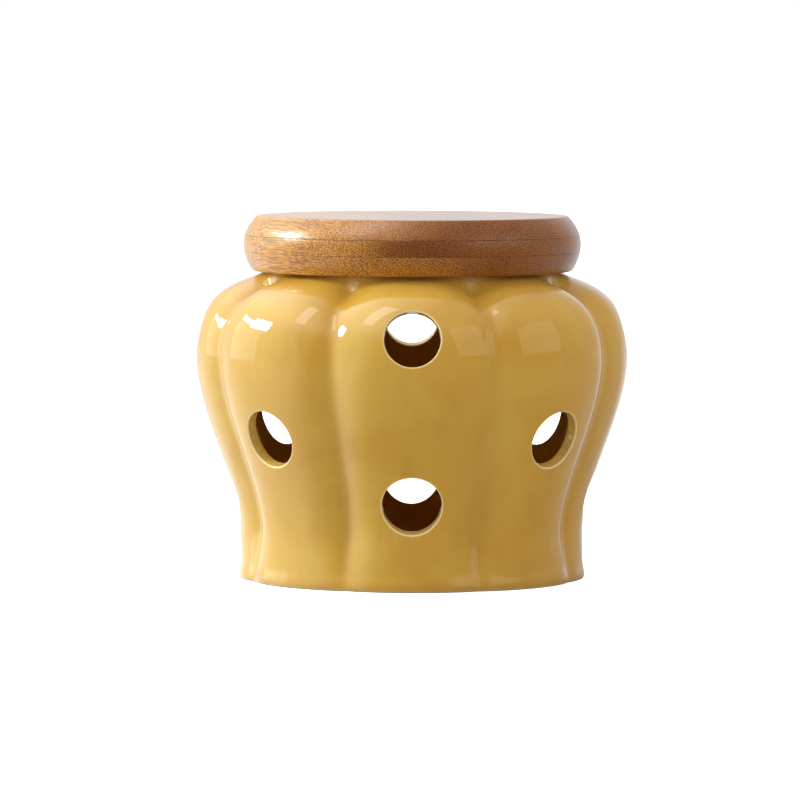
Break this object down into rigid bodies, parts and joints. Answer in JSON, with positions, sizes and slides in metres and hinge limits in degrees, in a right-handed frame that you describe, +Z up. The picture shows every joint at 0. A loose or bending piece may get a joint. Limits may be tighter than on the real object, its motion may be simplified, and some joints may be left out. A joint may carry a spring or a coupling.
{
  "type": "garlic keeper",
  "caption": "Lobed glazed stoneware jar with round vent holes in its wall and a lift-off round bamboo lid, for keeping garlic dry and aired.",
  "frame": {"origin": "on the ground under the middle of the foot", "axes": "+Z up along the jar's axis, -Y towards the front, where one lobe with two vent holes faces, +X to the right"},
  "size_m": [0.13, 0.13, 0.109],
  "materials": {
    "ochre_glaze": "gloss",
    "outer_bamboo": "satin",
    "middle_bamboo": "satin",
    "clear_silicone": "satin"
  },
  "bodies": {
    "jar": {"jar_body": "ochre_glaze"},
    "lid": {"lid_bottom_ply": "outer_bamboo", "lid_middle_ply": "middle_bamboo", "lid_top_ply": "outer_bamboo", "lid_plug": "outer_bamboo", "lid_seal_ring": "clear_silicone"}
  },
  "joints": [
    {"name": "lid_lift", "type": "slide", "parent": "jar", "child": "lid", "axis": [0, 0, 1], "range_m": [0, 0.12]}
  ]
}
